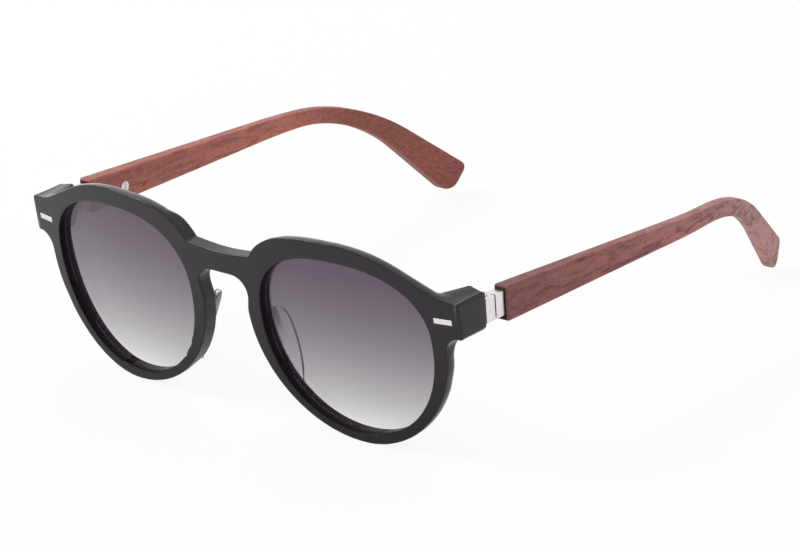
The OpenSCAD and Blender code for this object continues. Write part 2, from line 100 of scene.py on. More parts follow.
class Socket:
    """Output of a shader node. Arithmetic on it adds Math nodes."""

    def __init__(self, graph: "Graph", output: bpy.types.NodeSocket) -> None:
        """Wraps one output.

        Args:
            graph: Graph that holds the node.
            output: The node's output.
        """
        self.graph = graph
        self.output = output

    def math(self, operation: str, *values: Any) -> "Socket":
        """Adds a Math node.

        Args:
            operation: Name of the operation.
            values: Its inputs, as sockets or numbers.

        Returns:
            The node's result.
        """
        inputs = dict(enumerate(values))
        return self.graph.add("ShaderNodeMath", {"operation": operation}, inputs)

    def __add__(self, other: Any) -> "Socket":
        """Sum."""
        return self.math("ADD", self, other)

    def __radd__(self, other: Any) -> "Socket":
        """Sum."""
        return self.math("ADD", other, self)

    def __sub__(self, other: Any) -> "Socket":
        """Difference."""
        return self.math("SUBTRACT", self, other)

    def __rsub__(self, other: Any) -> "Socket":
        """Difference."""
        return self.math("SUBTRACT", other, self)

    def __mul__(self, other: Any) -> "Socket":
        """Product."""
        return self.math("MULTIPLY", self, other)

    def __rmul__(self, other: Any) -> "Socket":
        """Product."""
        return self.math("MULTIPLY", other, self)

    def __truediv__(self, other: Any) -> "Socket":
        """Quotient."""
        return self.math("DIVIDE", self, other)

    def __rtruediv__(self, other: Any) -> "Socket":
        """Quotient."""
        return self.math("DIVIDE", other, self)

    def __pow__(self, other: Any) -> "Socket":
        """Power."""
        return self.math("POWER", self, other)

    def __rpow__(self, other: Any) -> "Socket":
        """Power."""
        return self.math("POWER", other, self)

    def most(self, other: Any) -> "Socket":
        """Greater of two values."""
        return self.math("MAXIMUM", self, other)

    def least(self, other: Any) -> "Socket":
        """Lesser of two values."""
        return self.math("MINIMUM", self, other)

    def ramp(self, low: float, high: float) -> "Socket":
        """Smooth step.

        Args:
            low: Value that gives 0.
            high: Value that gives 1.

        Returns:
            Eased share from 0 to 1.
        """
        settings = {"interpolation_type": "SMOOTHSTEP"}
        return self.graph.add(
            "ShaderNodeMapRange",
            settings,
            {"Value": self, "From Min": low, "From Max": high},
        )


class Graph:
    """Shader nodes of one material or world."""

    mix_colours: tuple[int, int] = (6, 7)
    mix_result: int = 2

    def __init__(self, tree: bpy.types.NodeTree) -> None:
        """Empties a node tree.

        Args:
            tree: Tree to fill.
        """
        self.tree = tree
        tree.nodes.clear()

    def add(
        self,
        kind: str,
        settings: dict[str, Any] | None = None,
        inputs: dict[str | int, Any] | None = None,
        output: str | int = 0,
    ) -> Socket:
        """Adds a node.

        Args:
            kind: Type of the node.
            settings: Values of its properties.
            inputs: Values or sockets for its inputs.
            output: Output to return.

        Returns:
            The chosen output, or the first one.
        """
        node = self.tree.nodes.new(kind)
        for name, value in (settings or {}).items():
            setattr(node, name, value)
        for name, value in (inputs or {}).items():
            if isinstance(value, Socket):
                self.tree.links.new(value.output, node.inputs[name])
            else:
                node.inputs[name].default_value = value
        return Socket(self, node.outputs[output] if node.outputs else None)

    def place(self, stretch: Sequence[float], offset: Sequence[float] = (0, 0, 0)) -> Socket:
        """Object coordinates in millimetres, stretched for a pattern.

        Args:
            stretch: Pattern units per millimetre along each axis.
            offset: Shift of the pattern.

        Returns:
            The stretched coordinates.
        """
        where = self.add("ShaderNodeTexCoord", output="Object")
        scale = [share / MM for share in stretch]
        return self.add(
            "ShaderNodeMapping", inputs={"Vector": where, "Scale": scale, "Location": offset}
        )

    def attribute(self, name: str) -> Socket:
        """Value of a mesh attribute.

        Args:
            name: Name of the attribute.

        Returns:
            The value.
        """
        return self.add("ShaderNodeAttribute", {"attribute_name": name}, output="Fac")

    def blend(self, share: Socket | float, low: Any, high: Any) -> Socket:
        """Mix of two colours.

        Args:
            share: Part of the second colour.
            low: First colour, as a socket or three numbers.
            high: Second colour, as a socket or three numbers.

        Returns:
            The mixed colour.
        """
        inputs: dict[str | int, Any] = {0: share}
        for place, value in zip(self.mix_colours, (low, high)):
            inputs[place] = value if isinstance(value, Socket) else (*value, 1.0)
        return self.add("ShaderNodeMix", {"data_type": "RGBA"}, inputs, output=self.mix_result)

    def axis(self, name: str) -> Socket:
        """Object coordinate along one axis, in millimetres.

        Args:
            name: Axis, as X, Y or Z.

        Returns:
            The coordinate.
        """
        where = self.add("ShaderNodeTexCoord", output="Object")
        return self.add("ShaderNodeSeparateXYZ", inputs={0: where}, output=name) / MM


@dataclass(frozen=True)
class Grain:
    """Noise of a finish, with its stretch in pattern units per millimetre."""

    stretch: Triple
    detail: float = 2
    offset: float = 0
    warp: float = 0
    edges: Pair | None = None

    def on(self, graph: Graph) -> Socket:
        """Adds the noise to a graph.

        Args:
            graph: Graph to add to.

        Returns:
            Value from 0 to 1, eased between the edges if there are any.
        """
        inputs = {
            "Vector": graph.place(self.stretch, (self.offset,) * 3),
            "Scale": 1.0,
            "Detail": self.detail,
            "Distortion": self.warp,
        }
        made = graph.add("ShaderNodeTexNoise", inputs=inputs)
        return made.ramp(*self.edges) if self.edges else made


@dataclass(frozen=True)
class Finish:
    """Procedural material for one slot of the record."""

    slot: Slot

    def surface(self, graph: Graph) -> dict[str, Any]:
        """Look of the finish.

        Args:
            graph: Graph to fill.

        Returns:
            Inputs of its Principled shader.
        """
        raise NotImplementedError

    def material(self) -> bpy.types.Material:
        """Makes the material, or returns it if it is there.

        Returns:
            The material.
        """
        name = f"{self.slot.value}_finish"
        made = bpy.data.materials.get(name)
        if made is None:
            made = bpy.data.materials.new(name)
            made.use_nodes = True
            graph = Graph(made.node_tree)
            shader = graph.add("ShaderNodeBsdfPrincipled", inputs=self.surface(graph))
            graph.add("ShaderNodeOutputMaterial", inputs={"Surface": shader})
        return made

    def dress(self, piece: bpy.types.Object) -> None:
        """Gives a piece the material.

        Args:
            piece: Piece to dress.
        """
        piece.data.materials.clear()
        piece.data.materials.append(self.material())


@dataclass(frozen=True)
class Acetate(Finish):
    """Polished black sheet acetate."""

    slot: Slot = Slot.ACETATE
    dark: Triple = (0.009, 0.0055, 0.0085)
    light: Triple = (0.014, 0.009, 0.0135)
    cloud: Grain = Grain((0.05, 0.05, 0.05), 3)
    haze: Grain = Grain((0.6, 0.6, 0.6), 2, 4.0)
    haze_share: float = 0.06
    # Share of the coat taken off the opening walls: partly unpolished acetate, partly painted
    # shade.
    raw_share: float = 0.85
    # Painted shade in the reflection: share of the coat left at the bottom, and the height where it
    # is full again.
    low_gloss: float = 0.6
    gloss_z: float = 40.0
    rough: float = 0.4
    raw_rough: float = 0.2
    coat_rough: float = 0.06
    coat_ior: float = 1.42

    def surface(self, graph: Graph) -> dict[str, Any]:
        """Near-black. Painted shade thins its coat towards the bottom, in place of the darker floor
        that the lower rims would reflect, and on the walls of the lens openings, which are also
        left unpolished.

        Args:
            graph: Graph to fill.

        Returns:
            Inputs of the Principled shader.
        """
        raw = graph.attribute("raw")
        # Painted shade: the coat, and so the reflection, weakens towards the bottom.
        rise = graph.axis("Z").ramp(0.0, self.gloss_z)
        shaded_gloss = self.low_gloss + (1.0 - self.low_gloss) * rise
        polish = 1.0 - self.haze_share + self.haze_share * self.haze.on(graph)
        return {
            "Base Color": graph.blend(self.cloud.on(graph), self.dark, self.light),
            "Roughness": self.rough + self.raw_rough * raw,
            "Specular IOR Level": 0.0,
            # Painted shade: a weaker coat towards the bottom and on the walls of the lens openings.
            "Coat Weight": shaded_gloss * polish * (1.0 - self.raw_share * raw),
            "Coat Roughness": self.coat_rough,
            "Coat IOR": self.coat_ior,
        }


@dataclass(frozen=True)
class TintedLens(Finish):
    """Grey lens whose tint fades from the brow down, with a faint purple sheen."""

    slot: Slot = Slot.LENS
    tint: Triple = (0.03, 0.014, 0.03)
    tint_shift: float = 0.9
    sheen: Triple = (1.0, 0.74, 1.0)
    top: float = 0.815
    low: float = 2.0
    high: float = 44.5
    fade: float = 0.6
    cloud: Grain = Grain((0.08, 0.08, 0.08), 1, 2.0)
    cloud_share: float = 0.01
    rough: float = 0.04
    ior: float = 1.9

    def surface(self, graph: Graph) -> dict[str, Any]:
        """Tint by height, as the share that the lens keeps back.

        Args:
            graph: Graph to fill.

        Returns:
            Inputs of the Principled shader.
        """
        rise = (graph.axis("Z") - self.low) / (self.high - self.low)
        cloud = self.cloud.on(graph)
        other = [self.tint_shift * value for value in self.tint]
        kept = self.top * rise.most(0.0).least(1.0) ** self.fade
        return {
            "Base Color": graph.blend(cloud, self.tint, other),
            "Roughness": self.rough + self.cloud_share * cloud,
            "Alpha": kept + self.cloud_share * cloud,
            "IOR": self.ior,
            "Specular Tint": (*self.sheen, 1.0),
        }


@dataclass(frozen=True)
class ClearPad(Finish):
    """Clear plastic with painted shade, standing in for the dark acetate seen through it, at its
    root, its rear edge and a grazing angle.
    """

    slot: Slot = Slot.PAD
    body: Triple = (0.75, 0.74, 0.76)
    # Colour of the painted shade.
    dark: Triple = (0.035, 0.031, 0.035)
    clear_z: float = 20.0
    dark_z: float = 27.0
    graze: Pair = (0.55, 0.75)
    haze: Grain = Grain((0.3, 0.3, 0.3), 1)
    rough: float = 0.1
    haze_rough: float = 0.04
    clear_alpha: float = 0.03
    dark_alpha: float = 0.9
    ior: float = 1.2
    specular: float = 0.12

    def surface(self, graph: Graph) -> dict[str, Any]:
        """Clear on its broad faces, with painted shade at its upper root, its rear edge and where
        it is seen at a grazing angle.

        Args:
            graph: Graph to fill.

        Returns:
            Inputs of the Principled shader.
        """
        # Painted shade: dark towards the top at the root and at grazing angles, and on the rear
        # edge.
        facing = graph.add("ShaderNodeLayerWeight", inputs={"Blend": 0.5}, output="Facing")
        shaded_top = graph.axis("Z").ramp(self.clear_z, self.dark_z)
        inner = shaded_top * graph.attribute("root").most(facing.ramp(*self.graze))
        dark = inner.most(graph.attribute("edge"))
        return {
            "Base Color": graph.blend(dark, self.body, self.dark),
            "Roughness": self.rough + self.haze_rough * self.haze.on(graph),
            "Alpha": self.clear_alpha + self.dark_alpha * dark,
            "IOR": self.ior,
            "Specular IOR Level": self.specular,
        }


@dataclass(frozen=True)
class Metal(Finish):
    """Metal with fine wear in its polish."""

    slot: Slot = Slot.METAL
    dark: Triple = (0.74, 0.68, 0.68)
    light: Triple = (0.86, 0.8, 0.8)
    rough: float = 0.2
    wear_rough: float = 0.12
    cloud: Grain = Grain((0.4, 0.4, 0.4))
    wear: Grain = Grain((0.6, 6.0, 6.0), 3, 7.0)

    def surface(self, graph: Graph) -> dict[str, Any]:
        """Bright metal with a soft cloud and brushed wear.

        Args:
            graph: Graph to fill.

        Returns:
            Inputs of the Principled shader.
        """
        return {
            "Base Color": graph.blend(self.cloud.on(graph), self.dark, self.light),
            "Metallic": 1.0,
            "Roughness": self.rough + self.wear_rough * self.wear.on(graph),
        }


@dataclass(frozen=True)
class Wood(Finish):
    """Oiled reddish wood with its grain along Y, in a board of its own on each side."""

    slot: Slot = Slot.WOOD
    pale: Triple = (0.5, 0.178, 0.146)
    warm: Triple = (0.33, 0.098, 0.086)
    deep: Triple = (0.12, 0.035, 0.037)
    pore: Triple = (0.06, 0.024, 0.024)
    plum: Triple = (0.17, 0.072, 0.078)
    dusty: Triple = (0.72, 0.385, 0.35)
    rust: Triple = (0.55, 0.185, 0.135)
    # Front end: darker end grain, deepened with painted shade of the recess and the pocket.
    end: Triple = (0.03, 0.008, 0.009)
    band: Grain = Grain((0.12, 0.02, 0.16), 3, 3.1, 0.9, (0.32, 0.68))
    figure: Grain = Grain((0.4, 0.07, 0.5), 4, 8.7, 1.6)
    figure_edges: Pair = (0.44, 0.7)
    streak: Grain = Grain((0.9, 0.04, 1.2), 3, 15.2, 0.8, (0.56, 0.72))
    pores: Grain = Grain((4.0, 0.8, 4.0), 2, 22.4, 0, (0.57, 0.7))
    fleck: Grain = Grain((1.6, 0.4, 1.8), 3, 31.0, 0, (0.42, 0.66))
    cast: float = 0.85
    figure_share: float = 0.8
    streak_share: float = 0.5
    fleck_share: float = 0.3
    board_share: float = 0.32
    pore_share: float = 0.65
    board_x: float = 40.0
    # Where painted light and shade rise and fade along each temple.
    left_lit: Pair = (-30.0, 60.0)
    left_clear: Pair = (-65.0, 0.0)
    right_lit: Pair = (-45.0, 8.0)
    right_fade: Pair = (20.0, 42.0)
    right_dim: Pair = (22.0, 48.0)
    streak_depth: float = 0.3
    bump_strength: float = 0.35
    bump_depth: float = 0.06
    rough: float = 0.46
    pore_rough: float = 0.16
    figure_rough: float = 0.08
    ior: float = 1.3

    def ground(self, graph: Graph, left: Socket) -> Socket:
        """Broad bands under the grain, paler and darker along each board: painted light and shade.

        Args:
            graph: Graph to fill.
            left: 1 on the left temple and 0 on the right one.

        Returns:
            The colour.
        """
        right = 1.0 - left
        along = graph.axis("Y")
        right_lit = along.ramp(*self.right_lit) * (1.0 - along.ramp(*self.right_fade))
        lit = left * along.ramp(*self.left_lit) + right * right_lit
        dim = left * (1.0 - along.ramp(*self.left_clear)) + right * along.ramp(*self.right_dim)
        tone = graph.blend(self.band.on(graph), self.warm, self.pale)
        # Painted light towards the lit stretches and painted shade towards the dim ones.
        tone = graph.blend(self.cast * lit, tone, graph.blend(left, self.pale, self.dusty))
        return graph.blend(self.cast * dim, tone, graph.blend(left, self.deep, self.plum))

    def surface(self, graph: Graph) -> dict[str, Any]:
        """Figure, thin streaks and short pores, pressed in, and a dark front end: end grain, with
        painted shade on it and in the hinge case's pocket.

        Args:
            graph: Graph to fill.

        Returns:
            Inputs of the Principled shader.
        """
        left = graph.axis("X").ramp(-self.board_x, self.board_x)
        figure = self.figure.on(graph)
        streak = self.streak.on(graph)
        pores = self.pores.on(graph)
        tone = self.ground(graph, left)
        tone = graph.blend(self.figure_share * figure.ramp(*self.figure_edges), tone, self.deep)
        tone = graph.blend(self.streak_share * streak, tone, self.deep)
        tone = graph.blend(self.fleck_share * self.fleck.on(graph), tone, self.pale)
        tone = graph.blend(self.board_share, tone, graph.blend(left, self.rust, self.plum))
        tone = graph.blend(self.pore_share * pores, tone, self.pore)
        bump = graph.add(
            "ShaderNodeBump",
            inputs={
                "Strength": self.bump_strength,
                "Distance": self.bump_depth * MM,
                "Height": 1.0 - pores - self.streak_depth * streak,
            },
        )
        return {
            # Painted shade: the front end and the pocket go near black.
            "Base Color": graph.blend(graph.attribute("end"), tone, self.end),
            "Roughness": self.rough + self.pore_rough * pores + self.figure_rough * figure,
            "IOR": self.ior,
            "Normal": bump,
        }


class Shaper:
    """Mesh that is being made, in the CAD frame and in metres."""

    def __init__(self, node: str | None = None) -> None:
        """Starts empty, or from a copy of a CAD node's mesh.

        Args:
            node: CAD node to copy.
        """
        self.bm: BMesh = bmesh.new()
        if node is not None:
            self.bm.from_mesh(frame["nodes"][node].data)
            bmesh.ops.remove_doubles(self.bm, verts=self.bm.verts, dist=WELD * MM)

    def settle(self, angle: float, short: float) -> None:
        """Joins flat neighbours and drops edges that are too short to round.

        Args:
            angle: Greatest turn between flat neighbours, in degrees.
            short: Length of an edge to drop, in millimetres.
        """
        bm = self.bm
        bmesh.ops.dissolve_limit(
            bm, angle_limit=math.radians(angle), verts=bm.verts, edges=bm.edges
        )
        bmesh.ops.dissolve_degenerate(bm, dist=short * MM, edges=bm.edges)

    def sharp(
        self, angle: float, test: Callable[[BMEdge], bool] = lambda edge: True
    ) -> list[BMEdge]:
        """Edges where the surface turns.

        Args:
            angle: Least turn, in degrees.
            test: Which edges count.

        Returns:
            The edges.
        """
        least = math.radians(angle)
        return [
            edge
            for edge in self.bm.edges
            if edge.is_manifold and edge.calc_face_angle() > least and test(edge)
        ]

    def bevel(self, edges: Iterable[BMEdge], width: float, segments: int) -> None:
        """Rounds edges.

        Args:
            edges: Edges to round.
            width: Width of the rounding, in millimetres.
            segments: Steps of the rounding.
        """
        bmesh.ops.bevel(
            self.bm,
            geom=list(edges),
            offset=width * MM,
            offset_type="OFFSET",
            segments=segments,
            profile=0.5,
            affect="EDGES",
            clamp_overlap=False,
            material=-1,
        )

    def extrude(self, faces: Iterable[BMFace]) -> list[BMFace]:
        """Extrudes a region in place.

        Args:
            faces: Faces of the region.

        Returns:
            The region's new faces.
        """
        region = dict.fromkeys(item for face in faces for item in (face, *face.edges))
        made = bmesh.ops.extrude_face_region(self.bm, geom=list(region))["geom"]
        return [item for item in made if isinstance(item, BMFace)]

    def normal(self, vert: BMVert) -> Vector:
        """Normal at a vertex, with each face counted by its area.

        Args:
            vert: The vertex.

        Returns:
            The normal.
        """
        total = sum((face.normal * face.calc_area() for face in vert.link_faces), Vector())
        return total.normalized() if total.length > 0 else vert.normal.copy()

    def finish(self, name: str) -> bpy.types.Object:
        """Turns the mesh into an object with normals that keep its broad faces flat.

        Args:
            name: Name of the object.

        Returns:
            The object.
        """
        bm = self.bm
        bmesh.ops.recalc_face_normals(bm, faces=bm.faces)
        bm.normal_update()
        normals = [self.normal(vert) for vert in bm.verts]
        mesh = bpy.data.meshes.new(name)
        bm.to_mesh(mesh)
        bm.free()
        mesh.shade_smooth()
        mesh.normals_split_custom_set_from_vertices(normals)
        made = bpy.data.objects.new(name, mesh)
        bpy.context.scene.collection.objects.link(made)
        return made


@dataclass
class Part:
    """Sub-assembly whose pieces ride on CAD bodies.

    Attributes:
        made: Pieces that are done.
        flat: Greatest turn between neighbours that count as flat.
        short: Length of an edge that is too short to round.
        turn: Least turn of an edge to round.
        edge_steps: Steps of a rounded edge.
    """

    made: int = 0
    flat: float = 0.3
    short: float = 0.02
    turn: float = 35.0
    edge_steps: int = 3

    def join(
        self, piece: bpy.types.Object, body: str, finish: Finish, *nodes: str
    ) -> bpy.types.Object:
        """Puts a piece on its body in place of its CAD nodes and dresses it.

        Args:
            piece: Piece to join.
            body: CAD body that it rides on.
            finish: Finish of the piece.
            nodes: CAD nodes that it stands for.

        Returns:
            The piece.
        """
        finish.dress(piece)
        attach(piece, body)
        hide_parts(*nodes)
        self.made += 1
        log.info("%s: %d faces on %s", piece.name, len(piece.data.polygons), body)
        return piece

    def keep(self, node: str, finish: Finish) -> None:
        """Dresses a CAD node that is shown as it is.

        Args:
            node: Name of the node.
            finish: Finish of the node.
        """
        finish.dress(frame["nodes"][node])
        self.made += 1
        log.info("%s: shown as built", node)


def ease(value: float) -> float:
    """Smooth step.

    Args:
        value: Share, held from 0 to 1.

    Returns:
        Eased share.
    """
    held = min(max(value, 0.0), 1.0)
    return held * held * (3 - 2 * held)


def verts_of(faces: Iterable[BMFace]) -> dict[BMVert, None]:
    """Vertices of some faces, each once."""
    return dict.fromkeys(vert for face in faces for vert in face.verts)


@dataclass
class Front(Part):
    """Acetate front, drawn from the outline of the CAD front's face."""

    thickness: float = 4.2
    wrap: float = 345.0
    lean: float = 6.8
    rear_in: float = 1.9
    rear_deep: float = 3.3
    nose_in: float = 0.5
    nose_deep: float = 0.6
    steps: int = 6
    edge: float = 0.4
    end_edge: float = 1.0
    end_x: float = 69.6
    end_turn: float = 61.8
    end_inner: float = 64.8
    end_rear: float = -58.22
    end_low: float = 32.6
    end_mid: float = 37.0
    end_round: float = 4.2
    fade_x: float = 7.0
    fade_z: float = 6.0
    fair_x: float = 57.0
    fair_z: Pair = (13.0, 29.0)
    fair_rounds: int = 12
    corner: float = 28.65
    shortest: float = 0.9
    nose_x: float = 11.5
    seat_x: float = 64.9
    seat_z: float = 37.4
    seat_half: Pair = (2.7, 1.0)
    short: float = 0.05
    turn: float = 50.0
    end_steps: int = 4
    facing: float = 0.9
    outline_short: float = 0.45
    outline_rounds: int = 2
    brow_shares: tuple[float, ...] = (0.0, 0.06, 0.15, 0.28, 0.45, 0.68, 1.0)
    nose_reach: float = 7.0
    nose_fade: float = 5.0
    plate_weld: float = 0.004
    cut_slack: float = 0.001
    end_slack: float = 0.5
    side_slack: float = 0.1
    walls: list[Vector] = field(default_factory=list)

    def in_seat(self, edge: BMEdge) -> bool:
        """Whether an edge bounds a plaque's seat.

        Args:
            edge: Edge of the front's face.

        Returns:
            True for an edge of a seat.
        """
        wide, tall = self.seat_half
        middle = (edge.verts[0].co + edge.verts[1].co) / (2 * MM)
        return abs(abs(middle.x) - self.seat_x) < wide and abs(middle.z - self.seat_z) < tall

    def face(self, shaper: Shaper) -> list[BMFace]:
        """Keeps only the front's face and closes its plaque seats.

        Args:
            shaper: Copy of the CAD front.

        Returns:
            The faces that are left.
        """
        bm = shaper.bm
        ahead = {face for face in bm.faces if face.normal.y < -self.facing}
        islands: list[set[BMFace]] = []
        while ahead:
            queue = [ahead.pop()]
            island = set(queue)
            while queue:
                near = {face for edge in queue.pop().edges for face in edge.link_faces} & ahead
                ahead -= near
                island |= near
                queue += near
            islands.append(island)
        kept = max(islands, key=lambda island: sum(face.calc_area() for face in island))
        bmesh.ops.delete(bm, geom=[f for f in bm.faces if f not in kept], context="FACES")
        seats = [edge for edge in bm.edges if edge.is_boundary and self.in_seat(edge)]
        bmesh.ops.holes_fill(bm, edges=seats)
        shaper.settle(self.flat, self.outline_short)
        for _ in range(self.outline_rounds):
            self.smooth(bm)
        self.fair(bm)
        for share in self.brow_shares:
            for side in Side:
                self.split_brow(bm, side.value * (self.end_turn + share * self.end_round) * MM)
        return list(bm.faces)

    def smooth(self, bm: BMesh) -> None:
        """Splits the long edges of the outline and the openings onto the curves they follow.

        Args:
            bm: Mesh of the front's face.
        """
        for loop in self.loops(bm):
            count = len(loop)
            flat = [Vector((vert.co.x, vert.co.z)) for vert in loop]
            sides = [flat[(place + 1) % count] - flat[place] for place in range(count)]
            bends = []
            for place in range(count):
                turn = sides[place - 1].angle_signed(sides[place])
                reach = (sides[place - 1].length + sides[place].length) / 2
                bends.append(turn / reach if abs(turn) < math.radians(self.corner) else 0.0)
            for place, side in enumerate(sides):
                if side.length < self.shortest * MM:
                    continue
                ends = loop[place], loop[(place + 1) % count]
                edge = bm.edges.get(ends)
                bend = (bends[place] + bends[(place + 1) % count]) / 2
                rise = bend * side.length**2 / 8
                out = Vector((-side.y, side.x)).normalized() * rise
                _, vert = bmesh.utils.edge_split(edge, ends[0], 0.5)
                vert.co += Vector((out.x, 0, out.y))

    def fair(self, bm: BMesh) -> None:
        """Evens out the outline where the rims run into the end pieces.

        Args:
            bm: Mesh of the front's face.
        """
        outer = self.loops(bm)[0]
        low, high = self.fair_z
        for _ in range(self.fair_rounds):
            places = [vert.co.copy() for vert in outer]
            for place, vert in enumerate(outer):
                if abs(vert.co.x) > self.fair_x * MM and low < vert.co.z / MM < high:
                    near = (places[place - 1] + places[(place + 1) % len(outer)]) / 2
                    vert.co = places[place].lerp(near, 0.5)

    def split_brow(self, bm: BMesh, x: float) -> None:
        """Adds a vertex to the top edge of the front's face.

        Args:
            bm: Mesh of the front's face.
            x: Place of the vertex, in metres.
        """
        for edge in bm.edges:
            start, end = (vert.co for vert in edge.verts)
            above = min(start.z, end.z) > self.end_mid * MM
            if edge.is_boundary and above and min(start.x, end.x) < x < max(start.x, end.x):
                bmesh.utils.edge_split(edge, edge.verts[0], (x - start.x) / (end.x - start.x))
                return

    def rounding(self, place: Vector) -> Triple:
        """Size of the rear rounding: full on the rims, small at the nose, none on the end pieces.

        Args:
            place: Point on the outline.

        Returns:
            How far it goes in and how deep it is, in millimetres, and the share of the way across
            the rounded inner edge of an end piece.
        """
        x, z = abs(place.x) / MM, place.z / MM
        nose = ease((self.nose_x + self.nose_reach - x) / self.nose_fade)
        inset = self.rear_in + (self.nose_in - self.rear_in) * nose
        deep = self.rear_deep + (self.nose_deep - self.rear_deep) * nose
        if z > self.end_mid:
            aside = min(max((x - self.end_turn) / self.end_round, 0.0), 1.0)
            return inset, deep * math.sqrt(1 - aside**2), aside
        out = ease((x - self.end_turn) / self.fade_x + 1)
        end = out * ease((z - self.end_low) / self.fade_z + 1)
        return inset * (1 - end), deep * (1 - end), 0.0

    def drop(self, aside: float, angle: float) -> float:
        """Share of the rear rounding's inset at one of its rings.

        Args:
            aside: Share of the way across the rounded inner edge of an end piece.
            angle: Turn of the rounding at the ring, from 0 to a quarter.

        Returns:
            Share from 0 to 1.
        """
        near = math.sqrt(aside**2 + (1 - aside**2) * (1 - math.sin(angle)) ** 2)
        return 1 - math.sqrt(max(0.0, 1 - (1 - near) ** 2))

    def loops(self, bm: BMesh) -> list[list[BMVert]]:
        """Edges of the front's face: its outline, then the lens openings.

        Args:
            bm: Mesh of the front's face.

        Returns:
            The vertices round each edge.
        """
        rest = dict.fromkeys(edge for edge in bm.edges if edge.is_boundary)
        loops: list[list[BMVert]] = []
        while rest:
            edge = next(iter(rest))
            del rest[edge]
            loop = list(edge.verts)
            while True:
                ahead = [item for item in loop[-1].link_edges if item in rest]
                if not ahead:
                    break
                del rest[ahead[0]]
                loop.append(ahead[0].other_vert(loop[-1]))
            loops.append(loop[:-1])
        return sorted(loops, key=self.width, reverse=True)

    def width(self, loop: list[BMVert]) -> float:
        """Extent of a loop along X."""
        places = [vert.co.x for vert in loop]
        return max(places) - min(places)

    def inward(self, outer: list[BMVert]) -> dict[BMVert, Vector]:
        """Inward directions round the front's outline.

        Args:
            outer: Vertices of the outline.

        Returns:
            Direction at each vertex, in the front view.
        """
        count = len(outer)
        area = sum(
            a.co.x * b.co.z - b.co.x * a.co.z for a, b in zip(outer, outer[1:] + outer[:1])
        )
        turn = 1 if area > 0 else -1
        inward = {}
        for place, vert in enumerate(outer):
            before = vert.co - outer[place - 1].co
            after = outer[(place + 1) % count].co - vert.co
            along = before.normalized() * after.length + after.normalized() * before.length
            inward[vert] = Vector((-along.z, 0, along.x)).normalized() * turn
        return inward

    def plate(self, shaper: Shaper, cap: list[BMFace]) -> list[BMFace]:
        """Gives the face its thickness, with rear edges that are rounded in rings.

        Args:
            shaper: Mesh of the front's face.
            cap: Its faces.

        Returns:
            The plate's rear faces.
        """
        bm = shaper.bm
        inward = bm.verts.layers.float_vector.new("inward")
        deep = bm.verts.layers.float.new("deep")
        aside = bm.verts.layers.float.new("aside")
        outer, *openings = self.loops(bm)
        self.walls = [vert.co.copy() for loop in openings for vert in loop]
        for vert, direction in self.inward(outer).items():
            inset, depth, vert[aside] = self.rounding(vert.co)
            vert[inward] = direction * inset * MM
            vert[deep] = depth * MM
        tilt = math.cos(math.radians(self.lean))
        cap = shaper.extrude(cap)
        for vert in verts_of(cap):
            slant = math.sqrt(1 - (vert.co.x / MM / self.wrap) ** 2) * tilt
            vert.co.y += self.thickness * MM / slant - vert[deep]
        for step in range(self.steps):
            before, after = (math.pi / 2 * (step + k) / self.steps for k in (0, 1))
            cap = shaper.extrude(cap)
            for vert in verts_of(cap):
                share = self.drop(vert[aside], after) - self.drop(vert[aside], before)
                vert.co += vert[inward] * share
                vert.co.y += vert[deep] * (math.sin(after) - math.sin(before))
        return cap

    def end_pieces(self, shaper: Shaper, cap: list[BMFace]) -> None:
        """Draws the end pieces out behind the plate.

        Args:
            shaper: Mesh of the plate.
            cap: The plate's rear faces.
        """
        bm = shaper.bm
        mark = bm.faces.layers.int["rear"]
        for face in cap:
            face[mark] = 1
        bmesh.ops.remove_doubles(bm, verts=bm.verts, dist=self.plate_weld * MM)
        for place, normal in (
            ((self.end_turn * MM, 0, 0), (1, 0, 0)),
            ((-self.end_turn * MM, 0, 0), (1, 0, 0)),
            ((0, 0, self.end_low * MM), (0, 0, 1)),
        ):
            faces = [face for face in bm.faces if face[mark]]
            items = (item for face in faces for item in (face, *face.edges, *face.verts))
            bmesh.ops.bisect_plane(
                bm,
                geom=list(dict.fromkeys(items)),
                dist=self.cut_slack * MM,
                plane_co=place,
                plane_no=normal,
            )
        ends = [
            face
            for face in bm.faces
            if face[mark]
            and abs(face.calc_center_median().x) > self.end_turn * MM
            and face.calc_center_median().z > self.end_low * MM
        ]
        squeeze = (self.end_x - self.end_inner) / (self.end_x - self.end_turn)
        for vert in verts_of(shaper.extrude(ends)):
            out = self.end_x * MM - abs(vert.co.x)
            vert.co.x = math.copysign(self.end_x * MM - out * squeeze, vert.co.x)
            vert.co.y = self.end_rear * MM

    def on_end(self, edge: BMEdge) -> bool:
        """Whether an edge belongs to an end piece behind the plate.

        Args:
            edge: Edge of the front.

        Returns:
            True for an edge of an end piece.
        """
        reach = max(vert.co.y for vert in edge.verts) / MM
        side = min(abs(vert.co.x) for vert in edge.verts) / MM
        rise = abs(edge.verts[0].co.z - edge.verts[1].co.z) / MM
        level = side > self.end_x - self.side_slack and rise < self.side_slack
        return reach > self.end_rear - self.end_slack or level

    def mark_raw(self, bm: BMesh) -> None:
        """Marks the walls of the lens openings ahead of the lenses, which aren't polished and also
        carry painted shade of their recess as a weaker coat.

        Args:
            bm: Mesh of the front.
        """
        tree = KDTree(len(self.walls))
        for place, wall in enumerate(self.walls):
            tree.insert((wall.x, wall.z, 0), place)
        tree.balance()
        raw = bm.verts.layers.float.new("raw")
        for vert in bm.verts:
            _, place, gap = tree.find((vert.co.x, vert.co.z, 0))
            depth = (vert.co.y - self.walls[place].y) / MM
            vert[raw] = 1.0 if gap < self.side_slack * MM and depth < self.thickness / 2 else 0.0

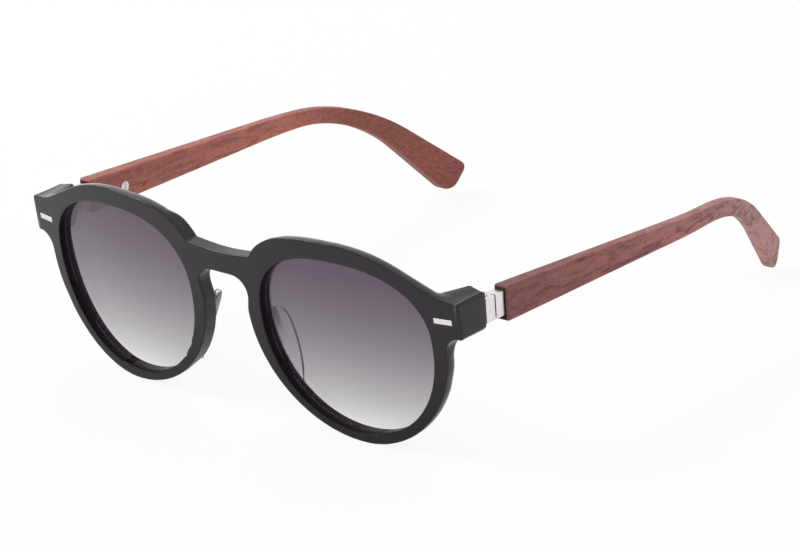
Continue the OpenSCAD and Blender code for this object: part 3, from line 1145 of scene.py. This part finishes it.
    def build(self) -> None:
        """Makes the front as one piece."""
        shaper = Shaper("front_frame")
        shaper.bm.faces.layers.int.new("rear")
        cap = self.plate(shaper, self.face(shaper))
        self.end_pieces(shaper, cap)
        shaper.settle(self.flat, self.short)
        shaper.bevel(shaper.sharp(self.turn, self.on_end), self.end_edge, self.end_steps)
        rims = shaper.sharp(self.turn, lambda edge: not self.on_end(edge))
        shaper.bevel(rims, self.edge, self.edge_steps)
        self.mark_raw(shaper.bm)
        self.join(shaper.finish("acetate_front"), "front", Acetate(), "front_frame")


@dataclass
class Lens(Part):
    """One lens, with the smooth wrap of the front."""

    side: Side = Side.LEFT

    def build(self) -> None:
        """Makes the lens."""
        node = f"{self.side.word}_lens"
        shaper = Shaper(node)
        shaper.settle(self.flat, self.short)
        self.join(shaper.finish(f"{self.side.word}_tinted_lens"), "front", TintedLens(), node)


@dataclass
class NosePad(Part):
    """One clear nose pad, with its rear edge and its root marked for the finish's painted shade."""

    side: Side = Side.LEFT
    edge: float = 0.45
    edge_facing: float = 0.86
    root_facing: float = 0.6
    nasal_x: float = 9.0
    flat: float = 0.5
    short: float = 0.05

    def build(self) -> None:
        """Makes the pad."""
        node = f"{self.side.word}_nose_pad"
        shaper = Shaper(node)
        shaper.settle(self.flat, self.short)
        shaper.bevel(shaper.sharp(self.turn), self.edge, self.edge_steps)
        bm = shaper.bm
        edge = bm.verts.layers.float.new("edge")
        root = bm.verts.layers.float.new("root")
        bm.normal_update()
        for vert in bm.verts:
            # Marks where the finish paints shade: the rear edge, and the root at the nose and on
            # the front.
            lean = shaper.normal(vert).y
            vert[edge] = 1.0 if lean > self.edge_facing else 0.0
            nasal = abs(vert.co.x) < self.nasal_x * MM
            vert[root] = 1.0 if nasal or lean < -self.root_facing else 0.0
        self.join(shaper.finish(f"{self.side.word}_clear_pad"), "front", ClearPad(), node)


@dataclass
class Hinge(Part):
    """Plaque, leaf, screws and case of one side, and the spring works inside the case."""

    side: Side = Side.LEFT
    edge: float = 0.12
    flat: float = 0.4
    edge_steps: int = 2
    bright: Metal = Metal()
    screw: Metal = Metal(Slot.SCREW, (0.6, 0.57, 0.56), (0.74, 0.7, 0.69), 0.26)
    steel: Metal = Metal(Slot.SPRING, (0.42, 0.42, 0.43), (0.55, 0.55, 0.56), 0.3)

    def soften(self, node: str, body: str, finish: Finish, edge: float) -> None:
        """Makes a piece as a copy of its CAD node with its edges broken.

        Args:
            node: CAD node without its side.
            body: CAD body that it rides on.
            finish: Finish of the piece.
            edge: Width of the broken edges, in millimetres.
        """
        name = f"{self.side.word}_{node}"
        shaper = Shaper(name)
        shaper.settle(self.flat, self.short)
        shaper.bevel(shaper.sharp(self.turn), edge, self.edge_steps)
        self.join(shaper.finish(f"{name}_dressed"), body, finish, name)

    def coil(self, body: str, finish: Finish) -> None:
        """Makes the spring on a mesh of its own and works out how much of it the full slide leaves,
        but nothing shortens it as the case slides on the plunger.

        Args:
            body: CAD body that it rides on.
            finish: Finish of the spring.
        """
        name = f"{self.side.word}_spring"
        low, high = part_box(name)
        slide = next(joint for joint in frame["joints"] if joint["name"] == f"{name}_slide")
        travel = max(slide["range_m"])
        piece = self.join(Shaper(name).finish(f"{name}_coil"), body, finish, name)
        keep = 1 - travel / (high[1] - low[1])
        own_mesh(piece)

    def build(self) -> None:
        """Makes the pieces that show and dresses those inside."""
        arm = f"{self.side.word}_arm"
        self.soften("plaque", "front", self.bright, self.edge)
        self.soften("front_leaf", "front", self.bright, self.edge)
        self.soften("hinge_screw", "front", self.screw, self.edge / 2)
        self.soften("hinge_case", arm, self.bright, self.edge)
        self.soften("case_screw", arm, self.screw, self.edge / 2)
        self.coil(arm, self.steel)
        for node in ("plunger", "spring_stop"):
            self.keep(f"{self.side.word}_{node}", self.steel)


@dataclass(frozen=True)
class Bend:
    """Edge of the temple in the side view: straight, bent once, straight."""

    start: Pair
    corner: Pair
    end: Pair
    radius: float

    def points(self, counts: tuple[int, int, int]) -> list[Vector]:
        """Points along the edge.

        Args:
            counts: Steps on the first straight, the bend and the second straight.

        Returns:
            The points, as (y, z) in millimetres.
        """
        start, corner, end = Vector(self.start), Vector(self.corner), Vector(self.end)
        back, on = (start - corner).normalized(), (end - corner).normalized()
        half = back.angle(on) / 2
        leave = corner + back * self.radius / math.tan(half)
        arrive = corner + on * self.radius / math.tan(half)
        centre = corner + (back + on).normalized() * self.radius / math.sin(half)
        first, turn, last = counts
        made = [start.lerp(leave, step / first) for step in range(first)]
        spoke, far = leave - centre, arrive - centre
        sweep = math.copysign(spoke.angle(far), spoke.cross(far))
        made += [centre + Matrix.Rotation(sweep * step / turn, 2) @ spoke for step in range(turn)]
        return made + [arrive.lerp(end, step / last) for step in range(last + 1)]


@dataclass
class Temple(Part):
    """Wooden temple, drawn along its length from the quad of its front end."""

    side: Side = Side.LEFT
    outer: float = 70.2
    inner: float = 66.0
    bow_inner: float = 66.7
    front: float = -51.524
    bow_y: float = 15.476
    bow_r: float = 100.0
    bow_angle: float = 20.0
    top: Bend = Bend((front, 41.4), (46.476, 33.515), (76.276, 7.7), 54.0)
    low: Bend = Bend((front, 32.4), (44.476, 30.389), (71.076, 0.0), 40.0)
    counts: tuple[int, int, int] = (14, 14, 2)
    pocket: tuple[float, float, float, float] = (66.46, 69.14, 34.56, 39.04)
    pocket_end: float = -35.484
    tip_round: float = 1.8
    tip_steps: int = 4
    foot_round: float = 4.2
    foot_steps: int = 6
    edge: float = 0.7
    turn: float = 38.0
    end_slack: float = 0.05
    end_facing: float = 0.8

    def across(self, y: float, inside: float) -> float:
        """Width at a place along the temple.

        Args:
            y: Place along the temple, in millimetres.
            inside: Distance in from the outer face, or 0 for that face.

        Returns:
            X in millimetres.
        """
        radius = self.bow_r - inside
        angle = math.radians(self.bow_angle)
        run = y - self.bow_y
        if run <= 0:
            return self.outer - inside
        if run <= radius * math.sin(angle):
            return self.outer - self.bow_r + math.sqrt(radius**2 - run**2)
        past = run - radius * math.sin(angle)
        return self.outer - self.bow_r + radius * math.cos(angle) - past * math.tan(angle)

    def corners(self, top: Vector, low: Vector) -> list[Vector]:
        """Corners of the temple's section at one station.

        Args:
            top: Point of the top edge, as (y, z).
            low: Point of the lower edge, as (y, z).

        Returns:
            Outer top, inner top, inner low and outer low corner, in metres.
        """
        bow = self.outer - self.bow_inner
        made = []
        for point, inside in ((top, 0), (top, bow), (low, bow), (low, 0)):
            y, z = point
            ahead = max(0.0, 1 - (y - self.front) / (self.bow_y - self.front))
            taper = (self.bow_inner - self.inner) * ahead
            x = self.across(y, inside) - (taper if inside else 0.0)
            made.append(Vector((self.side.value * x, y, z)) * MM)
        return made

    def move(self, faces: Iterable[BMFace], layer: Any, places: Sequence[Vector]) -> None:
        """Puts a quad's corners in their places.

        Args:
            faces: The quad.
            layer: Layer that holds each vertex's corner.
            places: Place of each corner.
        """
        for face in faces:
            for vert in face.verts:
                vert.co = places[vert[layer]]

    def build(self) -> None:
        """Makes the temple as one piece."""
        shaper = Shaper()
        bm = shaper.bm
        layer = bm.verts.layers.int.new("corner")
        end_grain_and_shade = bm.verts.layers.float.new("end")
        stations = [
            self.corners(top, low)
            for top, low in zip(self.top.points(self.counts), self.low.points(self.counts))
        ]
        quad = [bm.verts.new(place) for place in stations[0]]
        for corner, vert in enumerate(quad):
            vert[layer] = corner
        first = bm.faces.new(quad)
        end = [first]
        for places in stations[1:]:
            end = shaper.extrude(end)
            self.move(end, layer, places)
        tip, foot = (
            [edge for edge in end[0].edges if {vert[layer] for vert in edge.verts} == corners]
            for corners in ({0, 1}, {2, 3})
        )
        seat = self.open_pocket(shaper, layer)
        shaper.bevel(tip, self.tip_round, self.tip_steps)
        shaper.bevel(foot, self.foot_round, self.foot_steps)
        outside = shaper.sharp(self.turn, lambda edge: not (set(edge.verts) & seat))
        shaper.bevel(outside, self.edge, self.edge_steps)
        bmesh.ops.recalc_face_normals(bm, faces=bm.faces)
        # Marks the front end grain and the pocket walls for the painted shade of the wood finish.
        for vert in bm.verts:
            ahead = vert.co.y < (self.front + self.end_slack) * MM
            cut = ahead and shaper.normal(vert).y < -self.end_facing
            vert[end_grain_and_shade] = 1.0 if cut or vert in seat else 0.0
        name = f"{self.side.word}_temple"
        self.join(shaper.finish(f"{self.side.word}_wood"), f"{self.side.word}_arm", Wood(), name)

    def open_pocket(self, shaper: Shaper, layer: Any) -> set[BMVert]:
        """Sinks the hinge case's pocket into the front end.

        Args:
            shaper: Mesh of the temple.
            layer: Layer that holds each vertex's corner.

        Returns:
            The pocket's vertices.
        """
        x_in, x_out, z_low, z_top = self.pocket
        face = min(shaper.bm.faces, key=lambda item: item.calc_center_median().y)
        seat: set[BMVert] = set()
        faces = [face]
        for y in (self.front, self.pocket_end):
            spots = ((x_out, z_top), (x_in, z_top), (x_in, z_low), (x_out, z_low))
            faces = shaper.extrude(faces)
            self.move(faces, layer, [Vector((self.side.value * x, y, z)) * MM for x, z in spots])
            seat.update(verts_of(faces))
        return seat


@dataclass(frozen=True)
class Softbox:
    """Square soft light that faces the part, in metres and watts."""

    name: str
    place: Triple
    size: float
    power: float
    glossy: bool = True


@dataclass
class Studio:
    """Pale floor, soft light and the camera of the picture."""

    aim: Triple = (1.3, -12.098, 16.2)
    azimuth: float = 41.992
    elevation: float = 21.513
    roll: float = -3.803
    distance: float = 1220.0
    lens: float = 218.46
    sensor: float = 36.0
    sky: float = 0.65
    floor_size: float = 4000.0
    floor_white: float = 0.97
    floor_glow: float = 0.88
    floor_rough: float = 0.9
    fibre: Grain = Grain((0.02, 0.02, 0.02))
    fibre_shade: float = 0.995
    key: Softbox = Softbox("key", (-1.25, -0.7, 1.35), 0.8, 16.0)
    back: Softbox = Softbox("back", (-1.0, 1.3, 0.9), 1.0, 5.0, glossy=False)

    def link(self, name: str, data: bpy.types.ID) -> bpy.types.Object:
        """Adds an object to the scene.

        Args:
            name: Name of the object.
            data: Its mesh, light or camera.

        Returns:
            The object.
        """
        made = bpy.data.objects.new(name, data)
        bpy.context.scene.collection.objects.link(made)
        return made

    def seen(self, graph: Graph) -> Socket:
        """Whether a ray shows the background, straight on, in gloss or through glass.

        Args:
            graph: Graph of the floor or the world.

        Returns:
            1 for such rays, 0 for others.
        """
        straight, shaded_gloss, glass = (
            graph.add("ShaderNodeLightPath", output=f"Is {kind} Ray")
            for kind in ("Camera", "Glossy", "Transmission")
        )
        return straight.most(shaded_gloss).most(glass)

    def floor(self) -> None:
        """Lays the floor that takes the shadow."""
        bm = bmesh.new()
        bmesh.ops.create_grid(bm, x_segments=1, y_segments=1, size=self.floor_size * MM)
        mesh = bpy.data.meshes.new("floor")
        bm.to_mesh(mesh)
        bm.free()
        material = bpy.data.materials.new("floor_paper")
        material.use_nodes = True
        graph = Graph(material.node_tree)
        white = (self.floor_white,) * 3
        shaded = [self.fibre_shade * share for share in white]
        paper = graph.add(
            "ShaderNodeBsdfPrincipled",
            inputs={
                "Base Color": graph.blend(self.fibre.on(graph), white, shaded),
                "Roughness": self.floor_rough,
                "Specular IOR Level": 0.0,
            },
        )
        glow = graph.add("ShaderNodeEmission", inputs={"Color": WHITE, "Strength": 1.0})
        shader = graph.add(
            "ShaderNodeMixShader", inputs={0: self.floor_glow * self.seen(graph), 1: paper, 2: glow}
        )
        graph.add("ShaderNodeOutputMaterial", inputs={"Surface": shader})
        mesh.materials.append(material)
        self.link("floor", mesh)

    def world(self) -> None:
        """Fills the room with even light and keeps the background white."""
        world = bpy.data.worlds.new("studio")
        bpy.context.scene.world = world
        world.use_nodes = True
        graph = Graph(world.node_tree)
        strength = self.sky + (1.0 - self.sky) * self.seen(graph)
        sky = graph.add("ShaderNodeBackground", inputs={"Color": WHITE, "Strength": strength})
        graph.add("ShaderNodeOutputWorld", inputs={"Surface": sky})

    def light(self, box: Softbox) -> None:
        """Adds a soft light.

        Args:
            box: The light.
        """
        data = bpy.data.lights.new(box.name, "AREA")
        data.shape = "SQUARE"
        data.size = box.size
        data.energy = box.power
        made = self.link(box.name, data)
        made.location = box.place
        made.rotation_euler = (-Vector(box.place)).to_track_quat("-Z", "Y").to_euler()
        made.visible_glossy = box.glossy

    def camera(self) -> None:
        """Sets the camera to the view of the photo."""
        turn, rise, roll = (math.radians(v) for v in (self.azimuth, self.elevation, self.roll))
        back = Vector(
            (math.sin(turn) * math.cos(rise), -math.cos(turn) * math.cos(rise), math.sin(rise))
        )
        right = Vector((math.cos(turn), math.sin(turn), 0))
        up = back.cross(right)
        across = right * math.cos(roll) + up * math.sin(roll)
        matrix = Matrix((across, back.cross(across), back)).transposed().to_4x4()
        matrix.translation = (Vector(self.aim) + back * self.distance) * MM
        data = bpy.data.cameras.new("camera")
        data.lens = self.lens
        data.sensor_width = self.sensor
        made = self.link("camera", data)
        made.matrix_world = matrix
        bpy.context.scene.camera = made

    def build(self) -> None:
        """Sets up floor, light and camera."""
        bpy.context.scene.view_settings.view_transform = "Standard"
        self.floor()
        self.world()
        self.light(self.key)
        self.light(self.back)
        self.camera()


def main() -> None:
    """Builds every sub-assembly, then the stage."""
    logging.basicConfig(level=logging.INFO, format="%(name)s: %(message)s")
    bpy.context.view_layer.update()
    parts: list[Part] = [Front()]
    for side in Side:
        parts += [Lens(side=side), NosePad(side=side), Hinge(side=side), Temple(side=side)]
    for part in parts:
        part.build()
        log.info("%s: %d pieces", type(part).__name__, part.made)
    Studio().build()


if __name__ == "__main__":
    main()
